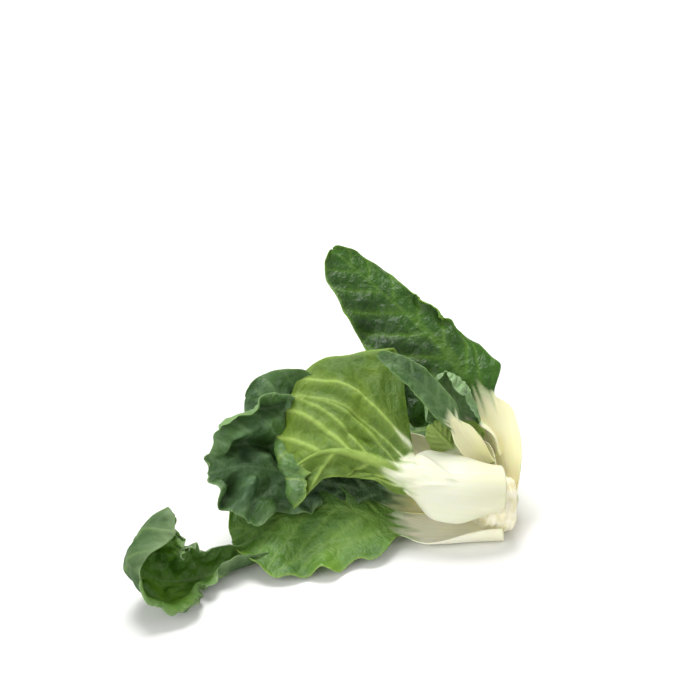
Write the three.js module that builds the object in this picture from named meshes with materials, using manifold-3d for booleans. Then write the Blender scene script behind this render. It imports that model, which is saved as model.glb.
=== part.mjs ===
// A head of white-stemmed bok choy, lying on its side on a table. Units are millimetres and +Z is up. The
// leaves are laid out round a point on the table close to the crown that they all grow from, and the
// finished head is then moved so that the origin is under the middle of its outer box. The head points
// along -X, so the cut foot of the crown looks towards +X. Each leaf is a sheet worked out from its rib: a
// curve from crown to tip, with a half blade on either side of it. A leaf is two solids: the white stalk,
// which runs on into the blade as its rib, and the green blade.

import * as THREE from "three";
import { mergeVertices } from "three/addons/utils/BufferGeometryUtils.js";
import Module from "manifold-3d";

const wasm = await Module();
wasm.setup();

// Middle of the head's outer box, in the frame that the leaves are laid out in
const headMiddle = [-74.8, 14.4];
const gap = 0.35; // clear air between two solids that lie against each other

// The grid of a leaf: steps along the stalk and the blade, and across the white part and each half blade
const stalkRows = 7;
const bladeRows = 12;
const evenRows = 7; // of the blade's, those before its round end
const ribColumns = 4;
const wingColumns = 4;
const firstStep = 0.02; // share of the length from the neck to the blade's first row
const joinStep = 0.006; // share of the length over which the half blades join past the rib's end

// How the white part's breadth changes, as shares of the stalk's length and breadth
const footBreadth = 0.62; // at the foot
const footLength = 0.55; // up to where the stalk has its whole breadth
const stalkTaper = 0.12; // lost again by the stalk's end
const neckFrom = 0.72; // where the stalk starts to draw in to the rib
const neckLength = 0.42;
const ribBreadth = 0.24; // the rib's at the neck
const ribEnd = 0.8; // share of a leaf's length where its rib has run out into the blade
const ribEndHalf = 1.0; // half width of the rib there

// The blade's outline
const bladeFrom = 0.92; // where the blade starts, as a share of the stalk's length
const shoulder = 8; // how soon past the neck the blade has its whole width: more is sooner
const endBluntness = 2.6; // 2 would close the outline with an ellipse, and more is blunter
const endShare = 0.55; // where along the blade its rows start to follow that end
const tipAngle = 1.4; // radians round the end of the outline where the last row stands
const outlineSpare = 1.2; // width added to every row, because its straight steps cut the outline's corners
const lobes = [
  { height: 0.035, rate: 23, byPhase: 3, bySide: 1 },
  { height: 0.02, rate: 41, byPhase: 1, bySide: 2 },
];

// How a leaf's sheet is bent and how thick it is
const bladeThick = 0.9;
const ribEndThick = 1.17; // on the middle of the rib where it runs out
const edgeThinning = 0.8; // share of the stalk's thickness that is lost towards its edges
const thinningPower = 0.8; // under 1, a stalk thins sooner along its length
const straighten = 0.75; // how far a blade's rows follow the leaf's whole direction, so that none cross
const bladeBlend = { from: 0.85, length: 0.25 }; // where waves set in: share of the stalk, then of the leaf
const secondWave = { height: 0.5, rate: 1.7, byPhase: 2.3 };
const sample = { along: 0.004, across: 0.3 }; // steps that a surface's direction is measured over

// The table that the head lies on
const tableBlock = [600, 600, 50]; // what is cut away under the table's surface
const tableSoftness = 0.8;
const tableDip = { most: 1, share: 0.2 }; // how far a leaf dips in, and as a share of its thickness

// The crown: its profile as radius and height over the cut foot, the middle of that foot, and where it
// points
const crownProfile = [[0, 0], [11, 0], [13, 1.5], [14, 6], [13, 14], [9, 20], [0, 23]];
const crownFoot = [15, 4, 13.5];
const crownAxis = [-0.96, -0.1, 0.08];
const crownSides = 28;

const white = { colour: 0xf1f2dc, roughness: 0.35 };
const leafGreen = { colour: 0x5d8a45, roughness: 0.5 };
const heartGreen = { colour: 0x9fb95f, roughness: 0.5 };

// Each leaf. rib: points from the crown to the tip, on the leaf's inner face. face: where that inner face
// looks, at even steps from foot to tip. stalk: length as a share of the whole, half breadth and thickness.
// wide: half widths of the left and right half blades, at even steps from neck to tip. sweep: how far each
// edge is drawn along the leaf, less than nothing towards the crown. fold: for each half, angles at the rib
// and at the edge, in degrees towards the inner face, at even steps from foot to tip. wave: height and
// count of the waves along the edge, which phase sets off from those of the other leaves. heart: a young
// leaf, which is paler. The order is the one they are cut in: each gives way to all that are listed before
// it.
const leaves = [
  {
    name: "front_leaf",
    rib: [
      [9, -3, 28], [-6, -6, 31], [-23, -6, 33], [-39, -3, 37], [-54, 1, 42], [-69, 2, 46], [-81, 0, 45],
      [-92, -5, 39], [-101, -12, 30],
    ],
    face: [[-0.1, 0.68, -0.72], [-0.1, 0.6, -0.8], [-0.1, 0.6, -0.8], [0, 0.55, -0.84], [0.3, 0.5, -0.75]],
    stalk: [0.38, 20, 7],
    wide: { left: [42, 56, 55, 49, 38], right: [5, 7, 10, 18, 26] },
    sweep: { left: [-26, -22, -13, -9, -10], right: [0, 0] },
    fold: { left: [[4, 45], [0, 16], [0, 20]], right: [[4, 50], [10, 50], [5, 20]] },
    wave: [2.2, 4],
    phase: 3.4,
  },
  {
    name: "far_leaf",
    rib: [
      [6, 13, 4], [5, 18, 19], [2, 26, 34], [-2, 35, 47], [-8, 45, 58], [-17, 55, 67], [-31, 66, 76],
      [-46, 76, 85], [-61, 86, 94], [-72, 93, 101],
    ],
    face: [[-0.3, -0.7, 0.55], [-0.3, -0.7, 0.6], [-0.3, -0.5, 0.8], [-0.2, -0.4, 0.9]],
    stalk: [0.34, 19, 7],
    wide: { left: [26, 32, 28, 26, 22], right: [17, 13, 10, 13, 12] },
    fold: { left: [[0, 30], [0, 25], [0, 20]], right: [[5, 45], [-10, -60], [-10, -40]] },
    wave: [2.6, 5],
    phase: 1.7,
  },
  {
    name: "table_leaf",
    rib: [
      [10, -5, 5], [-8, -4, 4], [-26, -4, 5], [-44, -6, 10], [-58, -5, 15], [-73, -3, 17], [-90, -4, 15],
      [-106, -10, 12], [-120, -19, 9],
    ],
    face: [[0, 0, 1], [0, -0.2, 1], [0, -0.2, 1], [0, -0.1, 1]],
    stalk: [0.38, 14, 5],
    wide: { left: [4, 24, 38, 46, 42], right: [12, 30, 46, 44, 34] },
    fold: { left: [[5, 75], [-20, -2], [-8, 2]], right: [[5, 55], [5, 30], [12, 40]] },
    wave: [2.4, 4],
    phase: 4.2,
  },
  {
    name: "heart_leaf_a",
    rib: [[5, 13, 26], [1, 18, 34], [-5, 20, 41], [-10, 20, 45], [-15, 20, 47]],
    face: [[-0.3, -0.6, 0.6], [-0.3, -0.6, 0.7], [-0.3, -0.5, 0.8]],
    stalk: [0.5, 5, 2.4],
    wide: { left: [4, 6, 7, 6, 5], right: [4, 6, 7, 6, 5] },
    fold: { left: [[20, 60], [15, 50], [10, 40]], right: [[20, 60], [15, 50], [10, 40]] },
    wave: [0.8, 3],
    phase: 0.4,
    heart: true,
  },
  {
    name: "heart_leaf_b",
    rib: [[-3, 11, 26], [-10, 14, 34], [-16, 16, 40], [-21, 18, 45], [-25, 20, 49]],
    face: [[-0.1, 0.6, -0.6], [-0.1, 0.7, -0.5], [-0.1, 0.8, -0.3]],
    stalk: [0.5, 4.5, 2.4],
    wide: { left: [4, 6, 8, 8, 6], right: [4, 6, 8, 8, 6] },
    fold: { left: [[20, 60], [15, 50], [10, 40]], right: [[20, 60], [15, 50], [10, 40]] },
    wave: [1.0, 3],
    phase: 1.3,
    heart: true,
  },
  {
    name: "curled_leaf",
    rib: [
      [5, 19, 30], [0, 24, 39], [-8, 29, 47], [-14, 33, 55], [-17, 34, 63], [-18, 31, 70], [-18, 26, 75],
    ],
    face: [[-0.4, -0.7, 0.6], [-0.2, -0.85, 0.5], [-0.1, -0.9, 0.4], [0, -0.9, 0.1], [0, -0.8, -0.5]],
    stalk: [0.36, 8, 4],
    wide: { left: [8, 17, 22, 22, 17], right: [8, 17, 22, 22, 17] },
    fold: { left: [[10, 50], [0, 85], [0, 75]], right: [[10, 50], [0, 85], [0, 75]] },
    wave: [1.6, 4],
    phase: 2.1,
  },
  {
    name: "strip_leaf",
    rib: [
      [2, 13, 30], [-6, 13, 42], [-13, 13, 53], [-20, 15, 63], [-29, 19, 72], [-39, 24, 79], [-50, 30, 83],
    ],
    face: [[-0.3, -0.5, 0.7], [-0.3, -0.5, 0.8], [-0.3, -0.5, 0.8]],
    stalk: [0.36, 7, 4],
    wide: { left: [3, 5, 6, 6, 4], right: [3, 5, 7, 7, 5] },
    fold: { left: [[5, 40], [5, 60], [0, 60]], right: [[5, 40], [10, 45], [0, 40]] },
    wave: [1.2, 4],
    phase: 0.9,
  },
  {
    name: "tall_leaf",
    rib: [[2, 10, 26], [-20, 17, 30], [-50, 23, 39], [-78, 28, 47], [-99, 32, 53], [-114, 34, 55]],
    face: [[-0.1, -0.4, 0.9], [-0.3, -0.6, 0.7], [-0.5, -0.6, 0.5]],
    stalk: [0.42, 9, 4],
    wide: { left: [4, 8, 16, 22, 20], right: [2, 4, 14, 24, 20] },
    fold: { left: [[5, 50], [10, 35], [-10, 10]], right: [[5, 50], [10, 35], [-10, 10]] },
    wave: [3, 5],
    phase: 5.1,
  },
  {
    name: "crinkled_leaf",
    rib: [
      [2, -3, 20], [-18, -2, 18], [-37, 1, 18], [-54, 4, 21], [-73, 7, 23], [-93, 6, 30], [-113, 1, 38],
      [-131, -8, 41],
    ],
    face: [[-0.1, -0.2, 1], [-0.2, -0.5, 0.8], [-0.3, -0.6, 0.75], [-0.5, -0.6, 0.6]],
    stalk: [0.4, 8, 4],
    wide: { left: [3, 8, 20, 34, 36], right: [6, 18, 36, 46, 42] },
    fold: { left: [[5, 50], [0, 10], [0, 30]], right: [[5, 50], [0, 15], [0, 40]] },
    wave: [2.8, 5],
    phase: 2.6,
  },
  {
    name: "long_leaf",
    rib: [
      [-4, 13, 5], [-26, 13, 4], [-48, 8, 4], [-73, -6, 3.5], [-98, -20, 3], [-121, -32, 2], [-139, -41, 2],
      [-154, -46, 6], [-164, -48, 17], [-164, -47, 30], [-157, -44, 40], [-149, -41, 44],
    ],
    face: [[0, -0.1, 1], [0, 0, 1], [0, 0, 1], [0.1, -0.1, 1], [0.55, -0.6, 0.5], [0.5, -0.55, -0.6]],
    stalk: [0.5, 8, 4.5],
    straighten: 0.2,
    wide: { left: [3, 10, 16, 34, 36, 28], right: [3, 10, 16, 32, 36, 28] },
    fold: {
      left: [[5, 40], [20, 80], [15, 115], [12, 105]],
      right: [[5, 40], [20, 80], [15, 115], [12, 105]],
    },
    wave: [2.4, 5],
    phase: 3.1,
  },
  {
    name: "side_leaf",
    rib: [[3, 12, 7], [-8, 24, 5], [-24, 36, 4], [-48, 50, 3], [-76, 62, 2], [-100, 70, 1], [-114, 74, 0]],
    face: [[-0.1, -0.2, 1], [-0.1, -0.1, 1], [0, 0, 1]],
    stalk: [0.42, 10, 5],
    wide: { left: [12, 26, 33, 33, 28], right: [8, 18, 24, 26, 22] },
    fold: { left: [[5, 50], [5, 10], [0, -10]], right: [[5, 50], [0, 0], [0, -10]] },
    wave: [2.2, 5],
    phase: 4.9,
  },
  {
    name: "back_leaf",
    rib: [[11, 12, 8], [8, 24, 6], [4, 40, 5], [-5, 56, 5], [-18, 71, 8], [-32, 82, 8], [-43, 89, 4]],
    face: [[-0.2, -0.3, 1], [-0.1, -0.2, 1], [0, 0, 1]],
    stalk: [0.45, 12, 5.5],
    wide: { left: [8, 22, 30, 32, 28], right: [10, 26, 34, 36, 30] },
    fold: { left: [[5, 50], [5, 30], [0, 10]], right: [[5, 50], [0, -10], [0, -25]] },
    wave: [2.4, 5],
    phase: 0.2,
  },
];

const radians = Math.PI / 180;
const clamp = (t) => Math.min(1, Math.max(0, t));
const smooth = (t) => clamp(t) ** 2 * (3 - 2 * clamp(t));
const mix = (a, b, t) => a + (b - a) * t;
const spread = (from, to, steps) => Array.from({ length: steps + 1 }, (_, k) => mix(from, to, k / steps));
const halfOf = (pair, side) => (side < 0 ? pair.left : pair.right);

// Values given at even steps from the foot to the tip, blended at share u of the length.
function along(values, u) {
  const place = Math.min(Math.max(u, 0), 0.9999) * (values.length - 1);
  const step = Math.floor(place);
  return mix(values[step], values[step + 1], smooth(place - step));
}

function ribCurve(leaf) {
  const points = leaf.rib.map((p) => new THREE.Vector3(...p));
  const curve = new THREE.CatmullRomCurve3(points, false, "catmullrom", 0.5);
  curve.chord = curve.getPoint(1).sub(curve.getPoint(leaf.stalk[0])).normalize();
  return curve;
}

// The rib's point, direction, inward normal and side at share u of its length.
function ribFrame(leaf, curve, u) {
  const lean = (leaf.straighten ?? straighten) * smooth(u / leaf.stalk[0]);
  const ahead = curve.getTangentAt(u).lerp(curve.chord, lean).normalize();
  const inward = new THREE.Vector3(...[0, 1, 2].map((k) => along(leaf.face.map((f) => f[k]), u)));
  inward.addScaledVector(ahead, -inward.dot(ahead)).normalize();
  return { point: curve.getPointAt(u), ahead, inward, side: new THREE.Vector3().crossVectors(ahead, inward) };
}

// Half width of the white part: the stalk's breadth, drawn in at the neck to the rib, which thins to its
// end.
function ribHalf(leaf, u) {
  const [share, breadth] = leaf.stalk;
  const neck = smooth((u - share * neckFrom) / (share * neckLength));
  const rib = mix(breadth * ribBreadth, ribEndHalf, smooth((u - share) / (ribEnd - share)));
  const stalk = mix(footBreadth, 1, smooth(u / (share * footLength))) - stalkTaper * smooth(u / share);
  return mix(breadth * stalk, rib, neck);
}

const bladeStart = (leaf) => leaf.stalk[0] * bladeFrom;

// Half width of the whole leaf on one side: nothing beyond the stalk up to the neck, then the blade's
// outline, which its listed widths give from neck to tip and its round end closes.
function halfWidth(leaf, u, side) {
  const neck = bladeStart(leaf);
  const v = Math.max(0, (u - neck) / (1.0001 - neck));
  const end = (1 - v ** endBluntness) ** (1 / endBluntness);
  const uneven = lobes.map((l) => l.height * Math.sin(l.rate * u + l.byPhase * leaf.phase + l.bySide * side));
  const width = along(halfOf(leaf.wide, side), v) * smooth(v * shoulder) * end;
  return ribHalf(leaf, u) + width * uneven.reduce((sum, one) => sum + one, 1);
}

// Where arc length t from the rib comes to in the plane across it, as distances sideways and inwards. The
// sheet's direction turns evenly from the fold angle at the rib to the one at the edge, so it lies on an
// arc of a circle.
function across(leaf, u, side, t, width) {
  const fold = halfOf(leaf.fold, side);
  const atRib = along(fold.map((f) => f[0]), u) * radians;
  const atEdge = along(fold.map((f) => f[1]), u) * radians;
  const bow = ((atEdge - atRib) * t) / (2 * width);
  const chord = Math.abs(bow) > 1e-6 ? (t * Math.sin(bow)) / bow : t;
  return [chord * Math.cos(atRib + bow), chord * Math.sin(atRib + bow)];
}

// The inner face at share u of the length and signed arc length s across.
function innerFace(leaf, curve, u, s) {
  const side = s < 0 ? -1 : 1;
  const width = Math.max(halfWidth(leaf, u, side), ribHalf(leaf, u));
  const { point, ahead, inward, side: sideways } = ribFrame(leaf, curve, u);
  const [out, up] = across(leaf, u, side, Math.abs(s), width);
  const [height, count] = leaf.wave;
  const turn = 2 * Math.PI * count * u;
  const first = Math.sin(turn + leaf.phase + side);
  const second = secondWave.height * Math.sin(turn * secondWave.rate + secondWave.byPhase * leaf.phase);
  const inBlade = smooth((u - leaf.stalk[0] * bladeBlend.from) / bladeBlend.length);
  const edge = inBlade * (s / width) ** 2;
  const sweep = leaf.sweep ? along(halfOf(leaf.sweep, side), u) : 0;
  point.addScaledVector(sideways, side * out);
  point.addScaledVector(inward, up + height * edge * (first + second));
  point.addScaledVector(ahead, sweep * edge);
  point.z = restOnTable(point.z, thickness(leaf, u, s));
  return point;
}

function inwardNormal(leaf, curve, u, s) {
  const onward = innerFace(leaf, curve, Math.min(u + sample.along, 1), s);
  const alongStep = onward.sub(innerFace(leaf, curve, Math.max(u - sample.along, 0), s));
  const further = innerFace(leaf, curve, u, s + sample.across);
  const acrossStep = further.sub(innerFace(leaf, curve, u, s - sample.across));
  return acrossStep.cross(alongStep).normalize();
}

// A leaf that meets the table lies along it: a height under the least one is lifted smoothly to it. The
// least one lets the leaf's under side dip a little below the table, where the flat spot that it rests on
// is then cut.
function restOnTable(z, thick) {
  const least = thick - Math.min(tableDip.most, tableDip.share * thick);
  const over = z - least;
  return least + 0.5 * (over + Math.sqrt(over * over + tableSoftness ** 2));
}

function thickness(leaf, u, s) {
  const crescent = 1 - edgeThinning * clamp(Math.abs(s) / ribHalf(leaf, u)) ** 2;
  const full = mix(leaf.stalk[2], ribEndThick, smooth(u / ribEnd) ** thinningPower);
  return Math.max(bladeThick, full * crescent);
}

// A closed sheet on a grid of (u, s) rows, with inner and outer faces that are split into triangles alike.
// isIn(i, j) says whether the grid's square i, j is part of it. grow swells it on all sides.
function sheet(leaf, curve, rows, columnsOf, isIn, grow) {
  const columns = columnsOf(rows[0]).length;
  const positions = [];
  for (const u of rows)
    for (const s of columnsOf(u)) {
      const inward = inwardNormal(leaf, curve, u, s);
      const face = innerFace(leaf, curve, u, s);
      const outer = face.clone().addScaledVector(inward, -(thickness(leaf, u, s) + grow));
      positions.push(outer.toArray(), face.addScaledVector(inward, grow).toArray());
    }
  const inside = (i, j) => i >= 0 && i < rows.length - 1 && j >= 0 && j < columns - 1 && isIn(i, j);
  const triangles = [];
  for (let i = 0; i + 1 < rows.length; i++)
    for (let j = 0; j + 1 < columns; j++) {
      if (!inside(i, j)) continue;
      // The square's corners, each on the outer and the inner face
      const [a, b, c, d] = [[i, j], [i + 1, j], [i + 1, j + 1], [i, j + 1]].map(([row, column]) => {
        const outer = 2 * (row * columns + column);
        return { outer, inner: outer + 1 };
      });
      triangles.push([a.outer, b.outer, c.outer], [a.outer, c.outer, d.outer]);
      triangles.push([a.inner, c.inner, b.inner], [a.inner, d.inner, c.inner]);
      const wall = (p, q) => triangles.push([p.outer, q.outer, q.inner], [p.outer, q.inner, p.inner]);
      if (!inside(i, j - 1)) wall(b, a);
      if (!inside(i + 1, j)) wall(c, b);
      if (!inside(i, j + 1)) wall(d, c);
      if (!inside(i - 1, j)) wall(a, d);
    }
  return solidFrom(positions, triangles);
}

function solidFrom(positions, triangles) {
  const used = new Map();
  const vertices = [];
  const corner = (k) => {
    if (!used.has(k)) {
      used.set(k, vertices.length / 3);
      vertices.push(...positions[k]);
    }
    return used.get(k);
  };
  const triVerts = new Uint32Array(triangles.flat().map(corner));
  const vertProperties = new Float32Array(vertices);
  return new wasm.Manifold(new wasm.Mesh({ numProp: 3, vertProperties, triVerts }));
}

// Rows along the blade: even at first, then by the angle round its end, so that they close up at the tip.
function bladeStations(leaf) {
  const neck = bladeStart(leaf);
  const bend = mix(neck, 1, endShare);
  const round = spread(0, tipAngle, bladeRows - evenRows).slice(1);
  return [...spread(neck + firstStep, bend, evenRows), ...round.map((a) => mix(bend, 1, Math.sin(a)))];
}

function leafSolids(leaf, grow = 0) {
  const curve = ribCurve(leaf);
  const stations = bladeStations(leaf);
  const ribRows = stations.filter((u) => u < ribEnd); // rows that the rib runs through
  const last = ribRows.length - 1;
  const stalkStations = [...spread(0, stations[0], stalkRows).slice(0, -1), ...ribRows];
  const stalkColumns = (u) => spread(-1, 1, ribColumns).map((v) => v * (ribHalf(leaf, u) - gap / 2 + grow));
  const stalk = sheet(leaf, curve, stalkStations, stalkColumns, () => true, grow);

  const bladeStationsJoined = [...ribRows, ribRows[last] + joinStep, ...stations.slice(last + 1)];
  const bladeColumns = (u) => {
    const half = ribHalf(leaf, u) + gap / 2 - grow;
    const spare = outlineSpare + grow;
    const left = spread(-(halfWidth(leaf, u, -1) + spare), -half, wingColumns);
    const right = spread(half, halfWidth(leaf, u, 1) + spare, wingColumns);
    return [...left, ...right];
  };
  const isBlade = (i, j) => j !== wingColumns || i > last;
  return { stalk, blade: sheet(leaf, curve, bladeStationsJoined, bladeColumns, isBlade, grow) };
}

// The crown: a short stub cut flat at its foot.
function crownSolid(grow) {
  const radius = (r) => (r === 0 ? 0 : r + grow);
  const height = (h) => h + (h > 0 ? grow : -grow);
  const profile = crownProfile.map(([r, h]) => new THREE.Vector2(radius(r), height(h)));
  const geometry = new THREE.LatheGeometry(profile, crownSides);
  const axis = new THREE.Vector3(...crownAxis).normalize();
  geometry.applyQuaternion(new THREE.Quaternion().setFromUnitVectors(new THREE.Vector3(0, 1, 0), axis));
  geometry.translate(...crownFoot);
  return solidOf(geometry);
}

function solidOf(geometry) {
  geometry.deleteAttribute("normal");
  geometry.deleteAttribute("uv");
  const merged = mergeVertices(geometry, 1e-4);
  const vertProperties = new Float32Array(merged.attributes.position.array);
  const triVerts = new Uint32Array(merged.index.array);
  return new wasm.Manifold(new wasm.Mesh({ numProp: 3, vertProperties, triVerts }));
}

// The largest body of a solid: a cut can leave loose scraps, which are dropped.
const largest = (solid) => solid.decompose().sort((a, b) => b.volume() - a.volume())[0];

const underTable = solidOf(new THREE.BoxGeometry(...tableBlock).translate(0, 0, -tableBlock[2] / 2));

const group = new THREE.Group();
group.position.set(-headMiddle[0], -headMiddle[1], 0);

function addNode(name, solid, { colour, roughness }) {
  const { vertProperties, triVerts, numProp } = solid.getMesh();
  const position = new Float32Array((vertProperties.length / numProp) * 3);
  for (let i = 0; i < position.length / 3; i++)
    position.set(vertProperties.subarray(i * numProp, i * numProp + 3), i * 3);
  const geometry = new THREE.BufferGeometry();
  geometry.setAttribute("position", new THREE.BufferAttribute(position, 3));
  geometry.setIndex(new THREE.BufferAttribute(new Uint32Array(triVerts), 1));
  geometry.computeVertexNormals();
  const material = new THREE.MeshStandardMaterial({ color: colour, roughness, metalness: 0 });
  const mesh = new THREE.Mesh(geometry, material);
  mesh.name = name;
  group.add(mesh);
}

// Each solid is cut clear of the crown and of the leaves before it in the list, with the gap between them.
const before = [crownSolid(gap)];
addNode("crown", largest(crownSolid(0).subtract(underTable)), white);
for (const leaf of leaves) {
  const solids = leafSolids(leaf);
  const finishes = { stalk: white, blade: leaf.heart ? heartGreen : leafGreen };
  for (const [part, solid] of Object.entries(solids)) {
    const touching = before.filter((other) => solid.intersect(other).volume() > 0);
    const clear = touching.reduce((left, other) => left.subtract(other), solid).subtract(underTable);
    addNode(`${leaf.name}_${part}`, largest(clear), finishes[part]);
  }
  before.push(...Object.values(solids), ...Object.values(leafSolids(leaf, gap)));
}

export default group;
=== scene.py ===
# The looks of a head of white-stemmed bok choy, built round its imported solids. Lengths are worked out
# in millimetres in the frame that the leaves are laid out in: z = 0 is the table, the head points
# along -x, and the origin is by its crown. place() moves them into the frame of the solids, in metres.
import math

import bpy
import numpy as np
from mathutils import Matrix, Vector


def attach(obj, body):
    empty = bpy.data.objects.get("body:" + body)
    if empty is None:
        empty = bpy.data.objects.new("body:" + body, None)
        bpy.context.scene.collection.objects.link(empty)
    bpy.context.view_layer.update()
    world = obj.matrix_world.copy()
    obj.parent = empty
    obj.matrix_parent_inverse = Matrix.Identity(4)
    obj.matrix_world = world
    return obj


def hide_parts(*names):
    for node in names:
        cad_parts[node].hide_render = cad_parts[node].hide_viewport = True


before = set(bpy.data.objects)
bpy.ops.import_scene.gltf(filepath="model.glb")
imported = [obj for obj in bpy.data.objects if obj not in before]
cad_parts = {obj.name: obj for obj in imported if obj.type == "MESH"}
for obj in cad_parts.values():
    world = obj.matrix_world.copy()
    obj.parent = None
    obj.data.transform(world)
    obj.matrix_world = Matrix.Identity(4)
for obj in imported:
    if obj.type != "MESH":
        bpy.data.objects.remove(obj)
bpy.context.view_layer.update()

headMiddle = np.array([-74.8, 14.4, 0.0])  # layout point that stands over the origin
tableSoftness = 0.8
endBluntness = 2.6
ribEnd = 0.8
ribEndHalf = 1.0
footShare = 0.62
ribShare = 0.24
rowsAtOnce = 20


def smooth(t):
    # Eased step: 3t^2 - 2t^3 on t held between 0 and 1
    c = np.clip(t, 0, 1)
    return c * c * (3 - 2 * c)


def mix(a, b, t):
    return a + (b - a) * t


def unit(v):
    return v / np.maximum(np.linalg.norm(v, axis=-1, keepdims=True), 1e-9)


def along(values, u):
    # Values given at even steps from foot to tip, eased from one to the next
    values = np.asarray(values, float)
    place = np.clip(u, 0, 0.9999) * (len(values) - 1)
    step = place.astype(int)
    t = smooth(place - step)
    if values.ndim > 1:
        t = t[..., None]
    return mix(values[step], values[step + 1], t)


def place(points):
    return (points - headMiddle) / 1000


def lattice(x, y, size, seed):
    # Value noise from -1 to 1: random numbers on a square lattice, eased between its corners
    table = np.random.default_rng(seed).random((64, 64)) * 2 - 1
    gx, gy = x / size + 500, y / size + 500
    ix, iy = np.floor(gx).astype(int), np.floor(gy).astype(int)
    tx, ty = smooth(gx - ix), smooth(gy - iy)
    a, b = table[ix % 64, iy % 64], table[(ix + 1) % 64, iy % 64]
    c, d = table[ix % 64, (iy + 1) % 64], table[(ix + 1) % 64, (iy + 1) % 64]
    return mix(mix(a, b, tx), mix(c, d, tx), ty)


def quilt(x, y, size, seed):
    # Cushions with seams between them: distance to the second
    # nearest of jittered points less that to the nearest
    jitter = np.random.default_rng(seed).random((2, 64, 64))
    gx, gy = x / size + 500, y / size + 500
    ix, iy = np.floor(gx).astype(int), np.floor(gy).astype(int)
    near = np.full(gx.shape, 9.0)
    second = np.full(gx.shape, 9.0)
    for dx in (-1, 0, 1):
        for dy in (-1, 0, 1):
            cx, cy = ix + dx, iy + dy
            px = cx + jitter[0][cx % 64, cy % 64]
            py = cy + jitter[1][cx % 64, cy % 64]
            far = np.hypot(gx - px, gy - py)
            second = np.minimum(second, np.maximum(near, far))
            near = np.minimum(near, far)
    return smooth((second - near) / 0.7)


# Leaf shape

def ribCurve(points, share):
    # Uniform Catmull-Rom curve through the points, sampled closely with its
    # length so far, and the direction of its chord from the neck to the tip
    p = np.asarray(points, float)
    ends = np.vstack([2 * p[0] - p[1], p, 2 * p[-1] - p[-2]])
    t = np.linspace(0, len(p) - 1, 2001)
    k = np.minimum(t.astype(int), len(p) - 2)
    f = (t - k)[:, None]
    a, b, c, d = ends[k], ends[k + 1], ends[k + 2], ends[k + 3]
    m, n = (c - a) / 2, (d - b) / 2
    point = (2 * b - 2 * c + m + n) * f**3 + (-3 * b + 3 * c - 2 * m - n) * f**2 + m * f + b
    length = np.concatenate([[0], np.cumsum(np.linalg.norm(np.diff(point, axis=0), axis=1))])
    chord = unit(point[-1] - point[round(share * 2000)])
    return point, length, chord


def ribFrame(leaf, u):
    # The rib's point, direction, inward normal and side at share u of its length
    point, length, chord = ribCurve(leaf["rib"], leaf["stalk"][0])
    run = np.clip(u, 0, 1) * length[-1]
    here = np.stack([np.interp(run, length, point[:, k]) for k in range(3)], -1)
    slope = np.gradient(point, length, axis=0)
    tangent = unit(np.stack([np.interp(run, length, slope[:, k]) for k in range(3)], -1))
    lean = leaf["straighten"] * smooth(u / leaf["stalk"][0])
    ahead = unit(mix(tangent, chord, lean[..., None]))
    inward = along(leaf["face"], u)
    inward = unit(inward - ahead * np.sum(inward * ahead, -1, keepdims=True))
    return here, ahead, inward, np.cross(ahead, inward), length[-1]


def ribHalf(leaf, u):
    # Half width of the white part: the stalk's breadth,
    # drawn in at the neck to the rib, which thins to its end
    share, breadth = leaf["stalk"][:2]
    neck = smooth((u - share * 0.72) / (share * 0.42))
    rib = mix(breadth * ribShare, ribEndHalf, smooth((u - share) / (ribEnd - share)))
    stalk = mix(footShare, 1, smooth(u / (share * 0.55))) - 0.12 * smooth(u / share)
    return mix(breadth * stalk, rib, neck)


def halfWidth(leaf, u, side):
    # Half width of the whole leaf: the white part, and past
    # the neck the half blade, whose round end closes it
    neck = leaf["stalk"][0] * 0.92
    v = np.maximum(0, (u - neck) / (1.0001 - neck))
    widths = along(leaf["left"] if side < 0 else leaf["right"], v)
    end = (1 - v**endBluntness) ** (1 / endBluntness)
    broadLobes = 0.035 * np.sin(23 * u + leaf["phase"] * 3 + side)
    smallLobes = 0.02 * np.sin(41 * u + leaf["phase"] + 2 * side)
    return ribHalf(leaf, u) + widths * smooth(v * 8) * end * (1 + broadLobes + smallLobes)


def thickness(leaf, u, s):
    # Crescent of the stalk: full on its middle, thin at its
    # edges, and thinning along the leaf to the blade's own
    across = np.clip(np.abs(s) / ribHalf(leaf, u), 0, 1)
    full = mix(leaf["stalk"][2], 1.2, smooth(u / ribEnd) ** 0.8)
    body = full * (1 - 0.86 * across**2.2)
    return leaf["blade"] + np.maximum(0, body - leaf["blade"])


def leafGrid(leaf):
    # Rows along the leaf and columns across it: signed arc length s on every
    # row, with its own share of columns on the white part and on each half blade
    rows, columns = leaf["grid"]
    neck = leaf["stalk"][0] * 0.92
    bend = mix(neck, 1, 0.55)
    stalkRows, middleRows = int(rows * 0.26), int(rows * 0.4)
    lower = np.linspace(0, neck, stalkRows, endpoint=False)
    middle = np.linspace(neck, bend, middleRows, endpoint=False)
    end = mix(bend, 1, np.sin(np.linspace(0, math.pi / 2, rows - stalkRows - middleRows)))
    u = np.concatenate([lower, middle, end])[:, None]
    c = np.linspace(-1, 1, columns)[None, :]
    side = np.where(c < 0, -1, 1)
    half = ribHalf(leaf, u)
    width = np.where(c < 0, halfWidth(leaf, u, -1), halfWidth(leaf, u, 1))
    opened = smooth((u - neck * 0.98) / 0.08)
    inside = mix(np.abs(c), np.minimum(1, np.abs(c) / ribShare), opened)
    beyond = np.maximum(0, (np.abs(c) - ribShare) / (1 - ribShare))
    s = side * (half * inside + (width - half) * beyond)
    return u, s, side, np.maximum(width, half)


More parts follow.
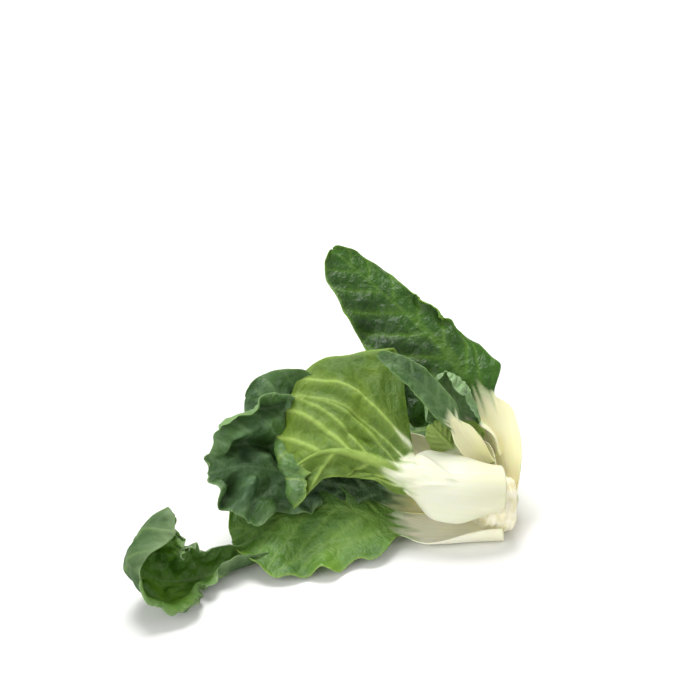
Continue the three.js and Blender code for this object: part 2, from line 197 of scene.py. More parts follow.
def veinField(leaf, u, s, side, width, length):
    # Each side vein leaves the rib at a share of the length and an angle, and bends towards
    # the tip. Its centre line is a(s) = a0 + cot(angle) s + bend s^2. Gives the pale line
    # of all veins, the height of their ridges, and the distance to the nearest one.
    a = u * length
    t = np.abs(s)
    line = np.zeros(s.shape)
    ridge = np.zeros(s.shape)
    near = np.full(s.shape, 30.0)
    rng = np.random.default_rng(leaf["seed"])
    for sign, veins in ((-1, leaf["veinsLeft"]), (1, leaf["veinsRight"])):
        on = np.broadcast_to(side == sign, s.shape)
        branches = []
        for start, angle, bend, weight in veins:
            cot = 1 / math.tan(math.radians(angle))
            turn = (1 / math.tan(math.radians(max(angle - bend, 6))) - cot) / 90
            branches.append((start * length, 0.0, cot, turn, weight, rng.random() * 6))
            for fork in range(leaf["forks"] if weight > 0.5 else 0):
                at = mix(9, 30, rng.random()) + 6 * fork
                lean = cot + (0.75 if fork else -0.6) * mix(0.6, 1.2, rng.random())
                forkStart = start * length + cot * at + turn * at * at
                branches.append((forkStart, at, lean, turn, weight * 0.5, 1.0))
        for a0, s0, cot, turn, weight, phase in branches:
            reach = t - s0
            wobble = 0.5 * np.sin(t / 6 + phase) * smooth(reach / 8)
            centre = a0 + cot * reach + turn * reach**2 + wobble
            slope = cot + 2 * turn * reach
            off = np.abs(a - centre) / np.sqrt(1 + slope**2)
            out = np.clip(t / width, 0, 1)
            half = np.maximum(0.75, weight**0.5 * mix(1.5, 0.8, smooth(t / 40)) * mix(1, 0.7, out))
            shown = on * smooth(reach / 2 + 0.2) * (1 - 0.7 * smooth((out - 0.75) / 0.25))
            bell = np.exp(-((off / half) ** 2)) * shown
            halo = 0.3 * np.exp(-((off / half / 2.8) ** 2)) * shown
            line = np.maximum(line, np.maximum(bell, halo) * min(1, weight**0.5))
            ridge = np.maximum(ridge, bell * weight * mix(0.75, 0.12, smooth(t / 45)))
            near = np.where(on & (reach > -1), np.minimum(near, off + 3 * (1 - weight)), near)
    near = np.minimum(near, np.maximum(0, t - ribHalf(leaf, u)))
    return line, ridge, near


def marginField(u, s, width, length):
    # Distance along the leaf's own surface to the nearest
    # point of its outline, and the direction to that point
    a = np.broadcast_to(u * length, s.shape)
    edgeA = np.concatenate([a[:, 0], a[:, -1]])
    edgeS = np.concatenate([s[:, 0], s[:, -1]])
    away = np.empty(s.shape)
    pick = np.empty(s.shape, int)
    for first in range(0, len(a), rowsAtOnce):
        rows = slice(first, first + rowsAtOnce)
        gap = (a[rows, :, None] - edgeA) ** 2 + (s[rows, :, None] - edgeS) ** 2
        pick[rows] = gap.argmin(-1)
        away[rows] = np.sqrt(gap.min(-1))
    heading = np.stack([edgeA[pick] - a, edgeS[pick] - s], -1)
    sideways = np.stack([np.zeros(s.shape), np.sign(s)], -1)
    return away, np.where(away[..., None] > 0.4, unit(heading), sideways)


def inwardNormal(points):
    return unit(np.cross(np.gradient(points, axis=1), np.gradient(points, axis=0)))


def leafSurface(leaf):
    u, s, side, width = leafGrid(leaf)
    here, ahead, inward, sideways, length = ribFrame(leaf, u[:, 0])
    here, ahead, inward, sideways = here[:, None], ahead[:, None], inward[:, None], sideways[:, None]
    share = leaf["stalk"][0]
    t = np.abs(s)

    # Across the leaf the sheet turns evenly from its angle at the rib to the one at the edge: an arc
    foldLeft = along(leaf["foldLeft"], u[:, 0])[:, None]
    foldRight = along(leaf["foldRight"], u[:, 0])[:, None]
    fold = np.radians(np.where((side < 0)[..., None], foldLeft, foldRight))
    bow = (fold[..., 1] - fold[..., 0]) / width * t / 2
    reach = t * np.sinc(bow / math.pi)
    x = reach * np.cos(fold[..., 0] + bow)
    y = reach * np.sin(fold[..., 0] + bow)
    out = t / width
    inBlade = smooth((u - share * 0.85) / 0.25)
    height, count = leaf["wave"]
    phase = leaf["phase"]
    wave = np.sin(2 * math.pi * count * u + phase + side)
    wave = wave + 0.5 * np.sin(2 * math.pi * count * 1.7 * u + 2.3 * phase)
    y = y + height * out**2 * inBlade * wave
    sweepLeft, sweepRight = along(leaf["sweepLeft"], u), along(leaf["sweepRight"], u)
    sweep = np.where(side < 0, sweepLeft, sweepRight) * out**2 * inBlade
    points = here + sideways * (side * x)[..., None] + inward * y[..., None] + ahead * sweep[..., None]

    # The leaf's end folds back over its outer side, round a small radius
    if leaf["tipFold"]:
        first, radius, slant = leaf["tipFold"]
        past = np.maximum(0, (u - first) * length - slant * s)
        angle = np.minimum(past / radius, math.pi)
        beyond = past - angle * radius
        shift = radius * np.sin(angle) - beyond - past
        points = points + ahead * shift[..., None] - inward * (radius * (1 - np.cos(angle)))[..., None]

    # The blade swells towards its inner face between veins, and ruffles along its edge
    line, ridge, near = veinField(leaf, u, s, side, width, length)
    away, heading = marginField(u, s, width, length)
    a = u * length
    blade = inBlade * smooth((t - ribHalf(leaf, u)) / 6)
    swell = leaf["pucker"] * (1 - np.exp(-((near / 4.5) ** 2))) * (1 - 0.5 * smooth(1 - away / 6))
    quilted = leaf["savoy"] * (quilt(a, s, leaf["quilt"], leaf["seed"] + 5) - 0.4)
    roll = leaf["undulate"] * lattice(a, s, 24, leaf["seed"] + 1)
    small = 0.25 * leaf["undulate"] * lattice(a, s, 8, leaf["seed"] + 2)
    ruffle = leaf["ruffle"] * np.exp(-away / 9) * lattice(a + 0.4 * t, away * 0.5, 9, leaf["seed"] + 3)

    # Creases and ridges: each fades with the distance from a straight line between two places on the leaf
    folds = np.zeros(s.shape)
    for startU, startS, endU, endS, half, height in leaf["folds"]:
        da, ds = (endU - startU) * length, endS - startS
        passed = np.clip(((a - startU * length) * da + (s - startS) * ds) / (da**2 + ds**2), 0, 1)
        off = np.hypot(a - startU * length - passed * da, s - startS - passed * ds)
        folds = folds + height * np.exp(-((off / half) ** 2))
    lift = blade * (swell + quilted + roll + small + ruffle + folds)
    points = points + inwardNormal(points) * lift[..., None]

    # The edge rolls over: past a line set in from the edge the sheet turns round a small radius
    normal = inwardNormal(points)
    alongStep = unit(np.gradient(points, axis=0))
    acrossStep = unit(np.gradient(points, axis=1))
    outwards = unit(alongStep * heading[..., :1] + acrossStep * heading[..., 1:])
    for first, last, sign, depth, radius, towards in leaf["rolls"]:
        soft = smooth((u - first) / 0.06) * smooth((last - u) / 0.06)
        strength = soft * (1 if sign == 0 else smooth(side * sign * t / 8))
        past = np.maximum(0, depth * strength - away)
        angle = past / radius
        shift = outwards * (radius * np.sin(angle) - past)[..., None]
        points = points + shift + normal * (towards * radius * (1 - np.cos(angle)))[..., None]

    thick = thickness(leaf, u, s)
    edgeThin = mix(1, 0.62, inBlade * np.exp(-away / 1.5))
    groove = 0.25 * ridge + 0.35 * np.exp(-((t / 1.2) ** 2)) * inBlade
    normal = inwardNormal(points)
    inner = points - normal * groove[..., None]
    outer = points - normal * (thick * edgeThin + ridge * leaf["ridge"])[..., None]

    # What meets the table lies along it
    least = thick - np.minimum(1, 0.2 * thick)
    over = inner[..., 2] - least
    lifted = least + 0.5 * (over + np.sqrt(over**2 + tableSoftness**2))
    rise = lifted - inner[..., 2]
    inner[..., 2] = np.maximum(lifted, 0.25)
    outer[..., 2] = np.maximum(outer[..., 2] + rise, 0)

    # Painted light and painted shade: patches of lighter and darker colour, each fading with the distance
    # from its middle
    shadeAndLight = np.zeros(s.shape)
    for atU, atS, size, amount in leaf["shadeAndLightPatches"]:
        shadeAndLight = shadeAndLight + amount * np.exp(-(((a - atU * length) ** 2 + (s - atS) ** 2) / size**2))

    # What the materials read
    half = ribHalf(leaf, u)
    ribLine = smooth(1.25 - t / half) * mix(1, 0.55, smooth((u - share) / 0.5))
    streak = lattice(a * 0.1, s, 1.4, leaf["seed"] + 7)
    whiteEnd = share * leaf["whiteTo"]
    pale = 1 - smooth((u - whiteEnd - leaf["ragged"] * streak) / leaf["greening"])
    farther = 1 - smooth((u - whiteEnd - 0.05 * share) / (0.7 * leaf["greening"]))
    white = np.maximum(pale * smooth((1.45 - t / half + 0.35 * streak * inBlade) / 0.4), line * farther)
    vein = np.maximum(line, ribLine * inBlade)
    fields = {
        "white": np.clip(white, 0, 1),
        "vein": np.clip(vein, 0, 1),
        "rim": np.exp(-away / leaf["edge"]) * inBlade,
        "reach": np.broadcast_to(u, s.shape),
        "hollow": np.clip(blade * (1 - np.exp(-((near / 4) ** 2))), 0, 1),
        "shadeAndLight": np.clip(shadeAndLight, -1, 1),
    }
    flat = np.stack([np.broadcast_to(a, s.shape), s], -1) / 1000
    return inner, outer, flat, fields


# Meshes

def sheetPiece(name, inner, outer, flat, fields, material):
    # A closed sheet: the inner and the outer grid, joined round the edge
    n, m = inner.shape[:2]
    grid = np.arange(n * m).reshape(n, m)
    a, b, c, d = grid[:-1, :-1], grid[:-1, 1:], grid[1:, 1:], grid[1:, :-1]
    innerFaces = np.stack([a, b, c, d], -1).reshape(-1, 4)
    outerFaces = innerFaces[:, ::-1] + n * m
    edge = np.concatenate([grid[0, :-1], grid[:-1, -1], grid[-1, :0:-1], grid[:0:-1, 0]])
    following = np.roll(edge, -1)
    rim = np.stack([following, edge, edge + n * m, following + n * m], -1)
    faces = np.concatenate([innerFaces, outerFaces, rim])
    points = np.concatenate([inner.reshape(-1, 3), outer.reshape(-1, 3)])
    mesh = bpy.data.meshes.new(name)
    mesh.from_pydata(place(points).tolist(), [], faces.tolist())
    mesh.polygons.foreach_set("use_smooth", np.ones(len(faces), bool))
    under = np.concatenate([np.zeros(n * m), np.ones(n * m)])
    for key, value in {**{k: np.tile(v.ravel(), 2) for k, v in fields.items()}, "under": under}.items():
        mesh.attributes.new(key, "FLOAT", "POINT").data.foreach_set("value", value.astype(np.float32))
    layer = mesh.uv_layers.new(name="flat")
    corners = np.tile(flat.reshape(-1, 2), (2, 1))[faces.ravel()]
    layer.data.foreach_set("uv", corners.astype(np.float32).ravel())
    mesh.materials.append(material)
    mesh.validate()
    piece = bpy.data.objects.new(name, mesh)
    bpy.context.scene.collection.objects.link(piece)
    return piece


# Node tools

def group(name, inputs, outputs):
    tree = bpy.data.node_groups.new(name, "ShaderNodeTree")
    for label, kind, value in inputs:
        socket = tree.interface.new_socket(label, in_out="INPUT", socket_type=kind)
        socket.default_value = value
    for label, kind in outputs:
        tree.interface.new_socket(label, in_out="OUTPUT", socket_type=kind)
    return tree, tree.nodes.new("NodeGroupInput"), tree.nodes.new("NodeGroupOutput")


def node(tree, kind, inputs=(), **values):
    made = tree.nodes.new("ShaderNode" + kind)
    for key, value in values.items():
        setattr(made, key, value)
    for key, value in dict(inputs).items():
        if isinstance(value, bpy.types.NodeSocket):
            tree.links.new(value, made.inputs[key])
        else:
            made.inputs[key].default_value = value
    return made


def math2(tree, operation, a, b=0.0, c=0.0):
    return node(tree, "Math", {0: a, 1: b, 2: c}, operation=operation).outputs[0]


def blendColors(tree, factor, a, b, kind="MIX"):
    made = node(tree, "Mix", {0: factor, 6: a, 7: b}, data_type="RGBA", blend_type=kind)
    return made.outputs[2]


def step(tree, value, low, high):
    made = node(tree, "MapRange", {0: value, 1: low, 2: high}, interpolation_type="SMOOTHSTEP")
    return made.outputs[0]


def srgb(r, g, b):
    # Linear colour of an 8-bit one
    c = np.array([r, g, b]) / 255
    line = np.where(c > 0.04045, ((c + 0.055) / 1.055) ** 2.4, c / 12.92)
    return (*line.tolist(), 1.0)


def netGroup():
    # Fine net of veins: thin lines between the cells of two Voronoi patterns on the leaf's flat coordinates
    tree, start, end = group("netVeins", [("Cell", "NodeSocketFloat", 160.0)],
                             [("Line", "NodeSocketFloat"), ("Pillow", "NodeSocketFloat")])
    flat = node(tree, "UVMap", uv_map="flat").outputs[0]
    bent = node(tree, "TexNoise", {"Vector": flat, "Scale": 90.0, "Detail": 2.0}).outputs["Color"]
    moved = node(tree, "VectorMath", {0: bent, 1: (0.004, 0.004, 0.0)}, operation="MULTIPLY").outputs[0]
    spot = node(tree, "VectorMath", {0: flat, 1: moved}, operation="ADD").outputs[0]
    coarse = node(tree, "TexVoronoi", {"Vector": spot, "Scale": start.outputs["Cell"]},
                  feature="DISTANCE_TO_EDGE", voronoi_dimensions="2D").outputs["Distance"]
    finer = math2(tree, "MULTIPLY", start.outputs["Cell"], 3.1)
    fine = node(tree, "TexVoronoi", {"Vector": spot, "Scale": finer},
                feature="DISTANCE_TO_EDGE", voronoi_dimensions="2D").outputs["Distance"]
    coarseLine = math2(tree, "SUBTRACT", 1.0, step(tree, coarse, 0.0, 0.09))
    fineLine = math2(tree, "SUBTRACT", 1.0, step(tree, fine, 0.0, 0.14))
    both = math2(tree, "MULTIPLY_ADD", fineLine, 0.3, coarseLine)
    tree.links.new(math2(tree, "MINIMUM", both, 1.0), end.inputs["Line"])
    swell = math2(tree, "MULTIPLY_ADD", step(tree, fine, 0.0, 0.5), 0.35, step(tree, coarse, 0.0, 0.4))
    tree.links.new(swell, end.inputs["Pillow"])
    return tree


def leafGroup(net):
    # The leaf's colour: lamina of either face, mottled, with patches of painted light and painted shade, then
    # net, veins, edge, and the white of the stalk
    color, number = "NodeSocketColor", "NodeSocketFloat"
    tree, start, end = group("leafSkin", [
        ("Upper", color, srgb(80, 110, 60)), ("Under", color, srgb(125, 153, 78)),
        ("Vein", color, srgb(165, 190, 110)), ("Stalk", color, srgb(229, 230, 210)),
        ("Rim", color, srgb(150, 180, 90)), ("Bloom", number, 0.2), ("Cell", number, 160.0),
        ("Net", number, 0.3), ("Yellow", number, 0.3),
    ], [("Color", color), ("Roughness", number), ("Height", number)])
    given = start.outputs
    read = {k: node(tree, "Attribute", attribute_name=k).outputs["Fac"]
            for k in ("white", "vein", "rim", "reach", "hollow", "shadeAndLight", "under")}
    flat = node(tree, "UVMap", uv_map="flat").outputs[0]
    object = node(tree, "TexCoord").outputs["Object"]
    netted = node(tree, "Group", {"Cell": given["Cell"]}, node_tree=net)

    lamina = blendColors(tree, read["under"], given["Upper"], given["Under"])
    broad = node(tree, "TexNoise", {"Vector": object, "Scale": 38.0, "Detail": 3.0}).outputs["Fac"]
    patches = node(tree, "TexNoise", {"Vector": flat, "Scale": 150.0, "Detail": 4.0}).outputs["Fac"]
    darker = blendColors(tree, 1.0, lamina, (0.62, 0.70, 0.58, 1), "MULTIPLY")
    lighter = blendColors(tree, 1.0, lamina, (1.35, 1.22, 1.15, 1), "MULTIPLY")
    lamina = blendColors(tree, step(tree, broad, 0.3, 0.7), darker, lighter)
    speckled = blendColors(tree, 1.0, lamina, (0.8, 0.86, 0.78, 1), "MULTIPLY")
    lamina = blendColors(tree, step(tree, patches, 0.45, 0.7), lamina, speckled)
    deep = blendColors(tree, 1.0, lamina, (0.74, 0.82, 0.66, 1), "MULTIPLY")
    hollowed = math2(tree, "MULTIPLY", read["hollow"], math2(tree, "SUBTRACT", 1.0, read["under"]))
    lamina = blendColors(tree, math2(tree, "MULTIPLY", hollowed, 0.6), lamina, deep)

    bloomNoise = node(tree, "TexNoise", {"Vector": flat, "Scale": 70.0, "Detail": 5.0}).outputs["Fac"]
    bloomed = math2(tree, "MULTIPLY", step(tree, bloomNoise, 0.3, 0.75), given["Bloom"])
    lamina = blendColors(tree, bloomed, lamina, srgb(118, 150, 122))

    # Painted light and painted shade: the colour is lightened where the patch attribute is above nought and
    # darkened where it is below
    paintedLit = blendColors(tree, 1.0, lamina, (1.6, 1.5, 1.0, 1), "MULTIPLY")
    lamina = blendColors(tree, math2(tree, "MAXIMUM", read["shadeAndLight"], 0.0), lamina, paintedLit)
    paintedShade = blendColors(tree, 1.0, lamina, (0.35, 0.42, 0.3, 1), "MULTIPLY")
    paintedShadeAmount = math2(tree, "MAXIMUM", math2(tree, "MULTIPLY", read["shadeAndLight"], -1.0), 0.0)
    lamina = blendColors(tree, paintedShadeAmount, lamina, paintedShade)

    netAmount = math2(tree, "MULTIPLY", netted.outputs["Line"], given["Net"])
    lamina = blendColors(tree, netAmount, lamina, given["Vein"])
    veinAmount = math2(tree, "MULTIPLY", read["vein"], mixNumber(tree, read["under"], 0.55, 0.95))
    lamina = blendColors(tree, veinAmount, lamina, given["Vein"])
    lamina = blendColors(tree, math2(tree, "MULTIPLY", read["rim"], 0.7), lamina, given["Rim"])

    # Fibres run along the stalk
    stretched = node(tree, "Mapping", {"Vector": flat, "Scale": (12.0, 620.0, 1.0)}).outputs[0]
    fibres = node(tree, "TexNoise", {"Vector": stretched, "Scale": 1.0, "Detail": 3.0}).outputs["Fac"]
    creamy = blendColors(tree, 1.0, given["Stalk"], (0.93, 0.93, 0.74, 1), "MULTIPLY")
    fibred = math2(tree, "MULTIPLY", step(tree, fibres, 0.35, 0.75), 0.35)
    stalk = blendColors(tree, fibred, given["Stalk"], creamy)
    cloudy = node(tree, "TexNoise", {"Vector": object, "Scale": 45.0, "Detail": 2.0}).outputs["Fac"]
    warm = blendColors(tree, 1.0, given["Stalk"], (0.97, 0.94, 0.66, 1), "MULTIPLY")
    inside = math2(tree, "SUBTRACT", 1.0, read["under"])
    foot = math2(tree, "SUBTRACT", 1.0, step(tree, read["reach"], 0.0, 0.22))
    yellowed = math2(tree, "MULTIPLY_ADD", foot, 0.35, math2(tree, "MULTIPLY", inside, given["Yellow"]))
    yellowed = math2(tree, "MULTIPLY_ADD", step(tree, cloudy, 0.4, 0.7), 0.15, yellowed)
    stalk = blendColors(tree, yellowed, stalk, warm)
    turning = blendColors(tree, 0.5, given["Vein"], given["Stalk"])
    join = blendColors(tree, step(tree, read["white"], 0.05, 0.55), lamina, turning)
    finished = blendColors(tree, step(tree, read["white"], 0.45, 0.95), join, stalk)
    tree.links.new(finished, end.inputs["Color"])

    isGreen = math2(tree, "SUBTRACT", 1.0, read["white"])
    rough = mixNumber(tree, read["under"], 0.46, 0.6)
    rough = math2(tree, "MULTIPLY_ADD", bloomed, 0.3, rough)
    tree.links.new(mixNumber(tree, read["white"], rough, 0.34), end.inputs["Roughness"])
    pillow = math2(tree, "MULTIPLY", netted.outputs["Pillow"], mixNumber(tree, read["under"], 1.0, -0.8))
    pillow = math2(tree, "MULTIPLY", pillow, isGreen)
    grain = node(tree, "TexNoise", {"Vector": flat, "Scale": 1400.0, "Detail": 2.0}).outputs["Fac"]
    high = math2(tree, "MULTIPLY_ADD", grain, 0.12, pillow)
    high = math2(tree, "MULTIPLY_ADD", math2(tree, "MULTIPLY", fibres, read["white"]), 0.7, high)
    tree.links.new(high, end.inputs["Height"])
    return tree


def mixNumber(tree, factor, a, b):
    return node(tree, "Mix", {0: factor, 2: a, 3: b}, data_type="FLOAT").outputs[0]


def newMaterial(name):
    material = bpy.data.materials.new(name)
    material.use_nodes = True
    shader = material.node_tree.nodes["Principled BSDF"]
    return material, material.node_tree, shader


def leafMaterial(name, skin, values, subsurface=0.35, bump=0.0006):
    material, tree, shader = newMaterial(name)
    made = node(tree, "Group", values, node_tree=skin)
    tree.links.new(made.outputs["Color"], shader.inputs["Base Color"])
    tree.links.new(made.outputs["Roughness"], shader.inputs["Roughness"])
    relief = node(tree, "Bump", {"Height": made.outputs["Height"], "Distance": bump, "Strength": 0.6})
    tree.links.new(relief.outputs[0], shader.inputs["Normal"])
    shader.inputs["Subsurface Weight"].default_value = subsurface
    shader.inputs["Subsurface Radius"].default_value = (0.6, 1.0, 0.25)
    shader.inputs["Subsurface Scale"].default_value = 0.0012
    shader.inputs["Specular IOR Level"].default_value = 0.34
    return material


net = netGroup()
skin = leafGroup(net)
paleBlade = leafMaterial("paleBlade", skin, {
    "Upper": srgb(80, 116, 62), "Under": srgb(88, 118, 24), "Vein": srgb(156, 182, 88), "Bloom": 0.03,
    "Net": 0.08, "Rim": srgb(150, 178, 84)})
# The table leaf's stalk colour is lighter and less yellow than the other stalks: painted light, making up for
# the shade under the front stalk
tableBlade = leafMaterial("tableBlade", skin, {
    "Upper": srgb(88, 128, 44), "Under": srgb(100, 132, 58), "Vein": srgb(132, 164, 80), "Bloom": 0.18,
    "Net": 0.08, "Stalk": srgb(244, 243, 226), "Yellow": 0.05})
brightBlade = leafMaterial("brightBlade", skin, {
    "Upper": srgb(40, 80, 8), "Under": srgb(104, 140, 52), "Vein": srgb(96, 136, 40), "Bloom": 0.0,
    "Net": 0.10, "Rim": srgb(120, 158, 60), "Stalk": srgb(244, 240, 206), "Yellow": 0.2})
darkBlade = leafMaterial("darkBlade", skin, {
    "Upper": srgb(58, 92, 40), "Under": srgb(84, 118, 64), "Vein": srgb(112, 144, 88), "Bloom": 0.22,
    "Net": 0.08, "Rim": srgb(118, 148, 92), "Stalk": srgb(236, 234, 198), "Yellow": 0.15})
curlBlade = leafMaterial("curlBlade", skin, {
    "Upper": srgb(118, 158, 92), "Under": srgb(116, 150, 94), "Vein": srgb(138, 168, 120), "Bloom": 0.2,
    "Net": 0.08, "Rim": srgb(140, 170, 124), "Stalk": srgb(236, 234, 200), "Yellow": 0.15})
# The crinkled leaf's stalk colour is darker and olive: painted shade, for a stalk that lies in shade under
# the leaves over it
crinkledBlade = leafMaterial("crinkledBlade", skin, {
    "Upper": srgb(62, 98, 42), "Under": srgb(84, 118, 64), "Vein": srgb(122, 152, 108), "Bloom": 0.34,
    "Net": 0.08, "Rim": srgb(128, 158, 104), "Stalk": srgb(196, 190, 140)})
# The long leaf's stalk colour is darker and olive: painted shade, for a stalk that lies in shade inside the
# head
cupBlade = leafMaterial("cupBlade", skin, {
    "Upper": srgb(84, 128, 18), "Under": srgb(54, 86, 38), "Vein": srgb(112, 142, 82), "Bloom": 0.12,
    "Net": 0.12, "Rim": srgb(140, 164, 116), "Stalk": srgb(206, 206, 160)})
youngBlade = leafMaterial("youngBlade", skin, {
    "Upper": srgb(134, 160, 70), "Under": srgb(150, 172, 90), "Vein": srgb(158, 180, 96), "Bloom": 0.1,
    "Net": 0.12})
print("materials made")

# Angles of the fold are degrees at the rib and at the edge. A roll is the shares of the
# length where it starts and ends, the half that it is on (0 for both), its depth, its radius,
# and 1 towards the inner face. A fold is a line from one share and distance to another, its
# half width and its height. A patch of painted light or painted shade is a share, a distance,
# a size and an amount, above nought for painted light and below nought for painted shade.
# A vein is the share where it leaves the rib, its angle, how far it bends and its weight.
leafDefaults = {
    "blade": 0.55, "grid": (190, 121), "pucker": 1.0, "savoy": 0.0, "quilt": 11.0, "undulate": 1.0,
    "ruffle": 1.6, "ridge": 1.0, "greening": 0.2, "rolls": [], "sweepLeft": [0, 0], "sweepRight": [0, 0],
    "straighten": 0.75, "tipFold": None, "folds": [], "forks": 1, "edge": 0.8, "shadeAndLightPatches": [], "whiteTo": 0.9,
    "ragged": 0.07,
    "veinsLeft": [(0.30, 26, 10, 0.7), (0.38, 38, 14, 0.9), (0.49, 46, 16, 0.8), (0.60, 50, 18, 0.7),
                  (0.70, 50, 18, 0.6), (0.80, 46, 16, 0.5), (0.89, 40, 12, 0.4)],
    "veinsRight": [(0.31, 26, 10, 0.7), (0.42, 40, 14, 0.9), (0.54, 48, 16, 0.8), (0.65, 50, 18, 0.7),
                   (0.75, 48, 18, 0.6), (0.85, 44, 16, 0.5), (0.92, 38, 12, 0.4)],
}


def makeLeaf(name, leaf, material):
    inner, outer, flat, fields = leafSurface({**leafDefaults, **leaf})
    piece = sheetPiece(name, inner, outer, flat, fields, material)
    nodeName = leaf["stands for"]
    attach(piece, "root")
    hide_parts(nodeName + "_stalk", nodeName + "_blade")
    print(name, "made with", len(piece.data.polygons), "faces")
    return piece


frontLeaf = {
    "stands for": "front_leaf",
    "rib": [[9, -3, 28], [-6, -6, 31], [-23, -6, 33], [-39, -3, 37], [-54, 1, 42], [-69, 2, 46], [-81, 0, 45],
            [-92, -5, 39], [-101, -12, 30]],
    "face": [[-0.1, 0.68, -0.72], [-0.1, 0.6, -0.8], [-0.1, 0.6, -0.8], [0, 0.55, -0.84], [0.3, 0.5, -0.75]],
    "stalk": [0.38, 20, 7], "left": [42, 56, 55, 49, 38], "right": [5, 7, 10, 18, 26],
    "sweepLeft": [-26, -22, -13, -8, -4],
    "foldLeft": [[4, 45], [0, 16], [0, 20]], "foldRight": [[4, 50], [10, 50], [5, 20]],
    "wave": [2.2, 4], "phase": 3.4, "seed": 11, "pucker": 1.5, "grid": (250, 171), "forks": 0,
    "greening": 0.18, "savoy": 0.5, "quilt": 9.0,
    "veinsLeft": [(0.20, 41, 18, 1.4), (0.30, 34, 12, 0.4), (0.40, 40, 12, 0.35),
                  (0.54, 48, 8, 0.5), (0.62, 50, 8, 0.9), (0.74, 50, 8, 0.8), (0.86, 52, 6, 0.5)],
    "veinsRight": [(0.24, 16, 2, 0.8), (0.36, 20, 4, 0.7), (0.52, 34, 8, 0.5), (0.68, 42, 10, 0.6),
                   (0.82, 46, 10, 0.5)],
    "folds": [[0.40, -11, 0.60, -20, 2.6, 2.2], [0.44, -7, 0.62, -11, 2.4, 2.0],
              [0.62, -28, 0.70, -46, 5, -2.5], [0.72, -10, 0.82, -18, 4, 1.8], [0.46, 6, 0.60, 8, 2.5, 2.5],
              [0.64, 8, 0.72, 12, 2.5, -2.5]],
    "tipFold": [0.9, 2.2, 0.0],
}
makeLeaf("frontLeaf", frontLeaf, paleBlade)

farLeaf = {
    "stands for": "far_leaf",
    "rib": [[6, 13, 4], [5, 18, 19], [2, 26, 34], [-2, 35, 47], [-8, 45, 58], [-17, 55, 67], [-31, 66, 76],
            [-46, 76, 85], [-61, 86, 94], [-72, 93, 101]],
    "face": [[-0.3, -0.7, 0.55], [-0.3, -0.7, 0.6], [-0.3, -0.5, 0.8], [-0.2, -0.4, 0.9]],
    "stalk": [0.34, 19, 7], "left": [26, 32, 28, 26, 22], "right": [17, 13, 10, 13, 12],
    "foldLeft": [[0, 30], [0, 25], [0, 20]], "foldRight": [[5, 45], [-10, -60], [-10, -40]],
    "wave": [2.6, 5], "phase": 1.7, "seed": 23, "pucker": 1.3, "savoy": 0.8, "quilt": 14.0,
    "whiteTo": 0.68, "ragged": 0.03,
    # The patches on the far leaf are painted shade on its left half and painted light on its right lobes
    "shadeAndLightPatches": [[0.62, -16, 24, -0.6], [0.8, -12, 14, -0.4], [0.42, 14, 14, 0.9], [0.52, 15, 10, 0.7],
              [0.9, 6, 12, 0.35], [0.66, 3, 10, 0.35]],
    "rolls": [[0.55, 0.78, 1, 6, 2.0, 1]],
}
makeLeaf("farLeaf", farLeaf, brightBlade)

tableLeaf = {
    "stands for": "table_leaf",
    "rib": [[10, -5, 5], [-8, -4, 4], [-26, -4, 5], [-44, -6, 10], [-58, -5, 15], [-73, -3, 17],
            [-90, -4, 15], [-106, -10, 12], [-120, -19, 9]],
    "face": [[0, 0, 1], [0, -0.2, 1], [0, -0.2, 1], [0, -0.1, 1]],
    "stalk": [0.38, 14, 5], "left": [4, 24, 38, 46, 42], "right": [12, 30, 46, 44, 34],
    "foldLeft": [[5, 75], [-20, -2], [-8, 2]], "foldRight": [[5, 55], [5, 30], [12, 40]],
    "wave": [2.4, 4], "phase": 4.2, "seed": 31, "pucker": 1.2, "whiteTo": 0.72, "ragged": 0.03,
    # The patches on the table leaf are painted shade by its neck, under the front leaf, and painted light
    # further out on its near half
    "greening": 0.16, "shadeAndLightPatches": [[0.52, 12, 12, -0.7], [0.42, 14, 8, -0.6], [0.62, -30, 18, 0.3],
                                [0.9, -10, 14, 0.2]],
}
makeLeaf("tableLeaf", tableLeaf, tableBlade)

youngLeafA = {
    "stands for": "heart_leaf_a", "heart": True,
    "rib": [[5, 13, 26], [1, 18, 34], [-5, 20, 41], [-10, 20, 45], [-15, 20, 47]],
    "face": [[-0.3, -0.6, 0.6], [-0.3, -0.6, 0.7], [-0.3, -0.5, 0.8]],
    "stalk": [0.5, 5, 2.4], "left": [4, 6, 7, 6, 5], "right": [4, 6, 7, 6, 5],
    "foldLeft": [[20, 60], [15, 50], [10, 40]], "foldRight": [[20, 60], [15, 50], [10, 40]],
    "wave": [0.8, 3], "phase": 0.4, "seed": 41, "grid": (90, 51), "pucker": 0.4, "undulate": 0.4,
    "ruffle": 0.6,
}
makeLeaf("youngLeafA", youngLeafA, youngBlade)

youngLeafB = {
    "stands for": "heart_leaf_b", "heart": True,
    "rib": [[-3, 11, 26], [-10, 14, 34], [-16, 16, 40], [-21, 18, 45], [-25, 20, 49]],
    "face": [[-0.1, 0.6, -0.6], [-0.1, 0.7, -0.5], [-0.1, 0.8, -0.3]],
    "stalk": [0.5, 4.5, 2.4], "left": [4, 6, 8, 8, 6], "right": [4, 6, 8, 8, 6],
    "foldLeft": [[20, 60], [15, 50], [10, 40]], "foldRight": [[20, 60], [15, 50], [10, 40]],
    "wave": [1.0, 3], "phase": 1.3, "seed": 43, "grid": (90, 51), "pucker": 0.4, "undulate": 0.4,
    "ruffle": 0.6,
}
makeLeaf("youngLeafB", youngLeafB, youngBlade)

